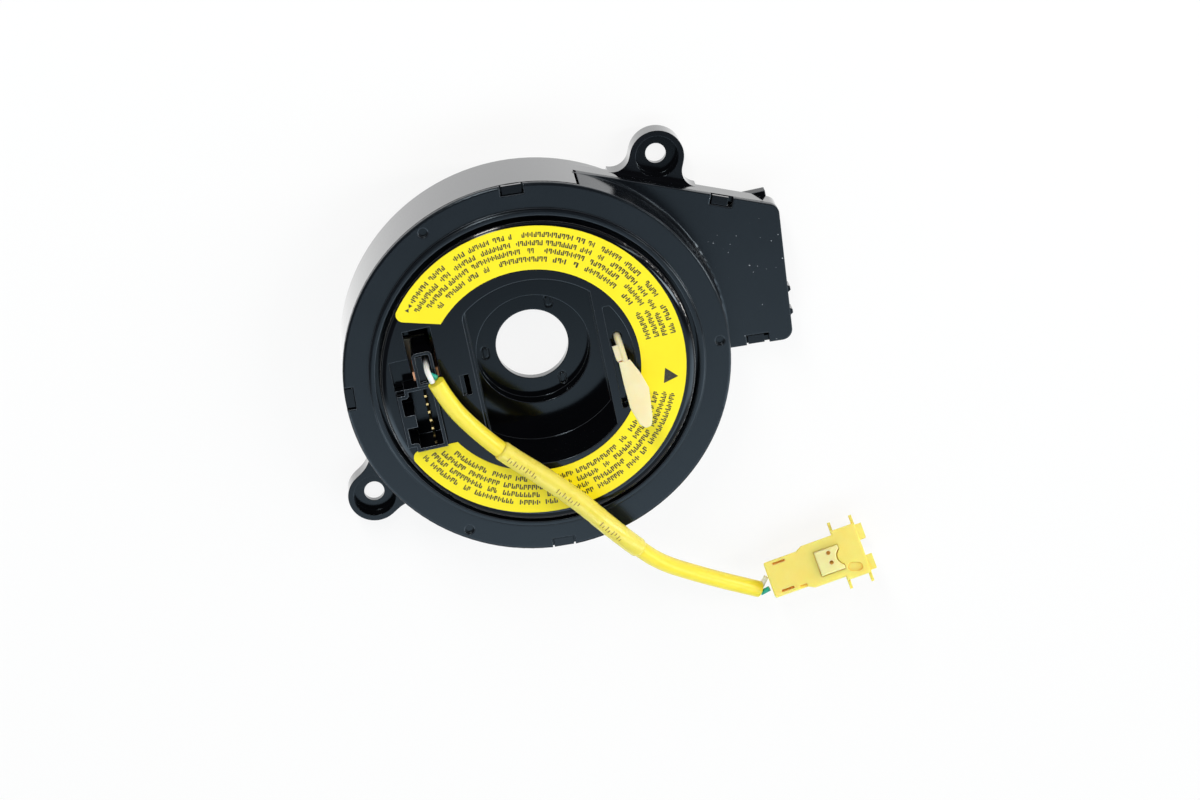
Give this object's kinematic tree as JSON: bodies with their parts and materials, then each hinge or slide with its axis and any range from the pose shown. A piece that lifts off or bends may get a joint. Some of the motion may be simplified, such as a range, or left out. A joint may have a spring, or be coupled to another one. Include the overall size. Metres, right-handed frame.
{
  "type": "steering clock spring",
  "caption": "Steering clock spring: round case with a terminal box and screw ears, turning face with a well, switch socket and short lead with plug.",
  "frame": {"origin": "centre of the shaft bore in the plane of the rear mounting face", "axes": "+Z along the bore axis toward the steering wheel, out of the turning face; +Y along the two flats of the well, away from the side that the lead leaves; +X toward the terminal box"},
  "size_m": [0.1331, 0.1353, 0.0342],
  "materials": {
    "gloss_black": "moulded, glossy sides with fine scuffs",
    "matte_black": "fine spark-eroded grain, satin",
    "ribbon_foil": "flat polyester ribbon with copper tracks",
    "ivory_plastic": "plain moulded",
    "gold_contact": "bright plated",
    "copper_strip": "rolled strip, bright",
    "yellow_sticker": "printed film, satin",
    "yellow_sleeve": "soft vinyl tube, satin gloss",
    "pale_yellow_tube": "shrunk marker tube, satin",
    "white_wire": "insulated wire",
    "green_wire": "insulated wire",
    "pale_yellow_plastic": "plain moulded",
    "cream_plastic": "plain moulded"
  },
  "bodies": {
    "stator": {"stator_housing": "gloss_black", "front_cover": "matte_black", "ribbon_cable": "ribbon_foil", "ribbon_terminal_block": "ivory_plastic", "column_connector": "matte_black", "column_pins": "gold_contact", "feed_connector": "matte_black", "feed_pins": "gold_contact"},
    "rotor": {"rotor_top": "gloss_black", "ribbon_spool": "gloss_black", "rotor_terminal_block": "ivory_plastic", "switch_socket": "matte_black", "switch_pins": "gold_contact", "lead_tower": "matte_black", "lead_terminals": "copper_strip", "label": "yellow_sticker", "wire_white": "white_wire", "wire_green": "green_wire", "lead_sleeve": "yellow_sleeve", "marker_tube": "pale_yellow_tube", "lead_sleeve_outer": "yellow_sleeve", "lead_connector": "pale_yellow_plastic", "connector_lock": "cream_plastic", "connector_contacts": "gold_contact"},
    "lock_pin": {"lock_pin": "cream_plastic"}
  },
  "joints": [
    {"name": "rotor_turn", "type": "hinge", "parent": "stator", "child": "rotor", "pos_m": [0, 0, 0], "axis": [0, 0, 1], "range_deg": [-990, 990]},
    {"name": "lock_pin_pull", "type": "slide", "parent": "rotor", "child": "lock_pin", "axis": [0, 0, 1], "range_m": [0, 0.02]}
  ]
}
